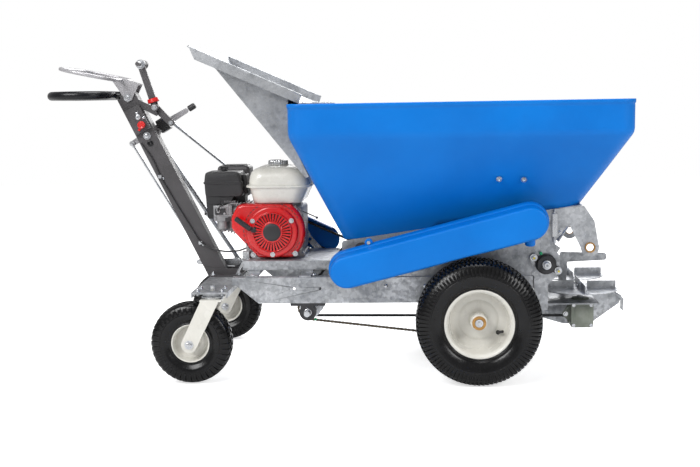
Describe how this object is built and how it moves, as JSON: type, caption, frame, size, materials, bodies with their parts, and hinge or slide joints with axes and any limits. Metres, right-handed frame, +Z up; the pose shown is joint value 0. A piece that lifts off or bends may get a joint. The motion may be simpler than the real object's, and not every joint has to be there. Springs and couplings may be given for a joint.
{
  "type": "walk-behind top dresser",
  "caption": "Self-propelled walk-behind spreader: moulded hopper over a belt conveyor, engine, driven wheels, casters, lever column and spinner discs.",
  "frame": {"origin": "on the ground, below the middle of the whole machine", "axes": "+Z up, +X from the handle towards the spinner discs, +Y to the side without the chain guard"},
  "size_m": [1.995, 0.886, 1.0972],
  "materials": {
    "galvanised_steel": "mottled zinc, satin",
    "black_powder_coat": "satin",
    "zinc_plate": "bright zinc",
    "red_plastic": "gloss",
    "grip_rubber": "satin",
    "grey_steel": "satin",
    "black_plastic": "satin",
    "blue_plastic": "orange-peel moulded",
    "cast_black": "satin",
    "chain_steel": "oiled",
    "gearbox_grey": "painted",
    "cream_paint": "gloss",
    "tyre_rubber": "matte",
    "cast_alloy": "cast",
    "red_paint": "gloss",
    "bright_chrome": "polished"
  },
  "bodies": {
    "chassis": {"frame_rails": "galvanised_steel", "caster_crossmember": "galvanised_steel", "engine_deck": "galvanised_steel", "handle_column": "black_powder_coat", "column_brace": "zinc_plate", "control_cover": "black_powder_coat", "handle_loop": "grip_rubber", "throttle_cable": "black_plastic", "hopper": "blue_plastic", "loading_tray": "galvanised_steel", "chain_guard": "blue_plastic", "belt_guard": "blue_plastic", "side_plates": "galvanised_steel", "shaft_bearings": "cast_black", "conveyor_belt": "grip_rubber", "conveyor_chain": "chain_steel", "spinner_carrier": "galvanised_steel", "gearboxes": "gearbox_grey", "spinner_belt": "grip_rubber", "drive_chain": "chain_steel", "jack_belt": "grip_rubber", "main_belt": "grip_rubber", "engine_block": "cast_alloy", "fan_cover": "red_paint", "fuel_tank": "cream_paint", "air_cleaner": "black_plastic", "muffler": "black_powder_coat"},
    "drive_wheels": {"drive_axle": "zinc_plate", "axle_sprocket": "chain_steel", "drive_rims": "cream_paint", "drive_tyres": "tyre_rubber"},
    "jackshaft": {"jackshaft": "zinc_plate"},
    "countershaft": {"countershaft": "zinc_plate"},
    "head_roller": {"head_roller": "zinc_plate"},
    "tail_roller": {"tail_roller": "zinc_plate"},
    "beater": {"beater": "galvanised_steel"},
    "cross_shaft": {"cross_shaft": "zinc_plate"},
    "spinner_right": {"spinner_right": "galvanised_steel"},
    "spinner_left": {"spinner_left": "galvanised_steel"},
    "crankshaft": {"crankshaft": "zinc_plate"},
    "idler_arm": {"idler_arm": "zinc_plate"},
    "idler_roller": {"idler_roller": "black_plastic"},
    "clutch_lever": {"clutch_lever": "black_powder_coat", "clutch_grip": "black_plastic"},
    "clutch_rod": {"clutch_rod": "zinc_plate"},
    "drive_lever": {"drive_lever": "grey_steel", "drive_grip": "black_plastic"},
    "traction_rod": {"traction_rod": "zinc_plate"},
    "traction_arm": {"traction_arm": "zinc_plate"},
    "bail_lever": {"bail_lever": "grey_steel"},
    "stop_knob": {"stop_knob": "red_plastic"},
    "starter_grip": {"starter_grip": "black_plastic"},
    "fuel_cap": {"fuel_cap": "bright_chrome"},
    "metering_gate": {"metering_gate": "galvanised_steel"},
    "caster_fork_right": {"caster_fork_right": "cream_paint"},
    "caster_fork_left": {"caster_fork_left": "cream_paint"},
    "caster_wheel_right": {"caster_rim_right": "cream_paint", "caster_tyre_right": "tyre_rubber"},
    "caster_wheel_left": {"caster_rim_left": "cream_paint", "caster_tyre_left": "tyre_rubber"}
  },
  "joints": [
    {"name": "wheel_spin", "type": "hinge", "parent": "chassis", "child": "drive_wheels", "pos_m": [0.4735, 0, 0.203], "axis": [0, 1, 0], "continuous": true},
    {"name": "jackshaft_spin", "type": "hinge", "parent": "chassis", "child": "jackshaft", "pos_m": [-0.0895, 0, 0.212], "axis": [0, 1, 0], "continuous": true},
    {"name": "countershaft_spin", "type": "hinge", "parent": "chassis", "child": "countershaft", "pos_m": [0.0335, 0, 0.362], "axis": [0, 1, 0], "continuous": true},
    {"name": "head_roller_spin", "type": "hinge", "parent": "chassis", "child": "head_roller", "pos_m": [0.6385, 0, 0.50241], "axis": [0, 1, 0], "continuous": true},
    {"name": "tail_roller_spin", "type": "hinge", "parent": "chassis", "child": "tail_roller", "pos_m": [0.0935, 0, 0.42515], "axis": [0, 1, 0], "continuous": true},
    {"name": "beater_spin", "type": "hinge", "parent": "chassis", "child": "beater", "pos_m": [0.7005, 0, 0.37], "axis": [0, 1, 0], "continuous": true},
    {"name": "cross_shaft_spin", "type": "hinge", "parent": "chassis", "child": "cross_shaft", "pos_m": [0.8275, 0, 0.189], "axis": [0, 1, 0], "continuous": true},
    {"name": "spinner_right_spin", "type": "hinge", "parent": "chassis", "child": "spinner_right", "pos_m": [0.8275, -0.15, 0.269], "axis": [0, 0, 1], "continuous": true},
    {"name": "spinner_left_spin", "type": "hinge", "parent": "chassis", "child": "spinner_left", "pos_m": [0.8275, 0.15, 0.269], "axis": [0, 0, 1], "continuous": true},
    {"name": "crankshaft_spin", "type": "hinge", "parent": "chassis", "child": "crankshaft", "pos_m": [-0.2145, 0, 0.474], "axis": [0, 1, 0], "continuous": true},
    {"name": "clutch_lever_swing", "type": "hinge", "parent": "chassis", "child": "clutch_lever", "pos_m": [-0.6375, -0.009, 0.903], "axis": [0, 1, 0], "range_deg": [0, 32]},
    {"name": "clutch_rod_swing", "type": "hinge", "parent": "clutch_lever", "child": "clutch_rod", "pos_m": [-0.5845, 0.006, 0.848], "axis": [0, 1, 0], "range_deg": [-37, 1]},
    {"name": "idler_arm_swing", "type": "hinge", "parent": "chassis", "child": "idler_arm", "pos_m": [-0.1185, 0.177, 0.408], "axis": [0, 1, 0], "range_deg": [-4.3, 0.3]},
    {"name": "idler_roller_spin", "type": "hinge", "parent": "idler_arm", "child": "idler_roller", "pos_m": [-0.0605, 0.19, 0.342], "axis": [0, 1, 0], "continuous": true},
    {"name": "drive_lever_swing", "type": "hinge", "parent": "chassis", "child": "drive_lever", "pos_m": [-0.6725, 0.08, 0.817], "axis": [0, 1, 0], "range_deg": [0, 20]},
    {"name": "traction_rod_swing", "type": "hinge", "parent": "drive_lever", "child": "traction_rod", "pos_m": [-0.7455, 0.064, 0.775], "axis": [0, 1, 0], "range_deg": [-23, 1]},
    {"name": "traction_arm_swing", "type": "hinge", "parent": "chassis", "child": "traction_arm", "pos_m": [-0.3725, 0.051, 0.342], "axis": [0, 1, 0], "range_deg": [-1, 17]},
    {"name": "bail_squeeze", "type": "hinge", "parent": "chassis", "child": "bail_lever", "pos_m": [-0.7315, 0, 0.938], "axis": [0, 1, 0], "range_deg": [-14, 0], "stiffness_Nm_per_rad": 14, "springref_deg": 20.05},
    {"name": "stop_knob_press", "type": "slide", "parent": "chassis", "child": "stop_knob", "axis": [0, 1, 0], "range_m": [0, 0.003], "stiffness_N_per_m": 400, "springref_m": -0.001},
    {"name": "starter_pull", "type": "slide", "parent": "chassis", "child": "starter_grip", "axis": [-0.8019, 0, 0.5975], "range_m": [0, 0.5], "stiffness_N_per_m": 20, "springref_m": -0.05},
    {"name": "fuel_cap_turn", "type": "hinge", "parent": "chassis", "child": "fuel_cap", "pos_m": [-0.2065, -0.016, 0.688], "axis": [0, 0, 1], "range_deg": [0, 90]},
    {"name": "metering_gate_slide", "type": "slide", "parent": "chassis", "child": "metering_gate", "axis": [-0.9901, 0, -0.1404], "range_m": [0, 0.05]},
    {"name": "caster_swivel_right", "type": "hinge", "parent": "chassis", "child": "caster_fork_right", "pos_m": [-0.3915, -0.342, 0.305], "axis": [0, 0, 1], "continuous": true},
    {"name": "caster_spin_right", "type": "hinge", "parent": "caster_fork_right", "child": "caster_wheel_right", "pos_m": [-0.4645, -0.342, 0.1347], "axis": [0, 1, 0], "continuous": true},
    {"name": "caster_swivel_left", "type": "hinge", "parent": "chassis", "child": "caster_fork_left", "pos_m": [-0.3915, 0.342, 0.305], "axis": [0, 0, 1], "continuous": true},
    {"name": "caster_spin_left", "type": "hinge", "parent": "caster_fork_left", "child": "caster_wheel_left", "pos_m": [-0.4645, 0.342, 0.1347], "axis": [0, 1, 0], "continuous": true}
  ],
  "couplings": [
    {"joint": "jackshaft_spin", "follows": "wheel_spin", "ratio": 2.4737},
    {"joint": "countershaft_spin", "follows": "wheel_spin", "ratio": 2.8271},
    {"joint": "head_roller_spin", "follows": "wheel_spin", "ratio": 2.8271},
    {"joint": "tail_roller_spin", "follows": "wheel_spin", "ratio": 2.8271},
    {"joint": "beater_spin", "follows": "wheel_spin", "ratio": 5.6541},
    {"joint": "cross_shaft_spin", "follows": "wheel_spin", "ratio": 4.3289},
    {"joint": "spinner_right_spin", "follows": "wheel_spin", "ratio": 4.3289},
    {"joint": "spinner_left_spin", "follows": "wheel_spin", "ratio": -4.3289},
    {"joint": "clutch_rod_swing", "follows": "clutch_lever_swing", "ratio": -1.11},
    {"joint": "idler_arm_swing", "follows": "clutch_lever_swing", "ratio": -0.125},
    {"joint": "traction_rod_swing", "follows": "drive_lever_swing", "ratio": -1.1},
    {"joint": "traction_arm_swing", "follows": "drive_lever_swing", "ratio": 0.8}
  ]
}
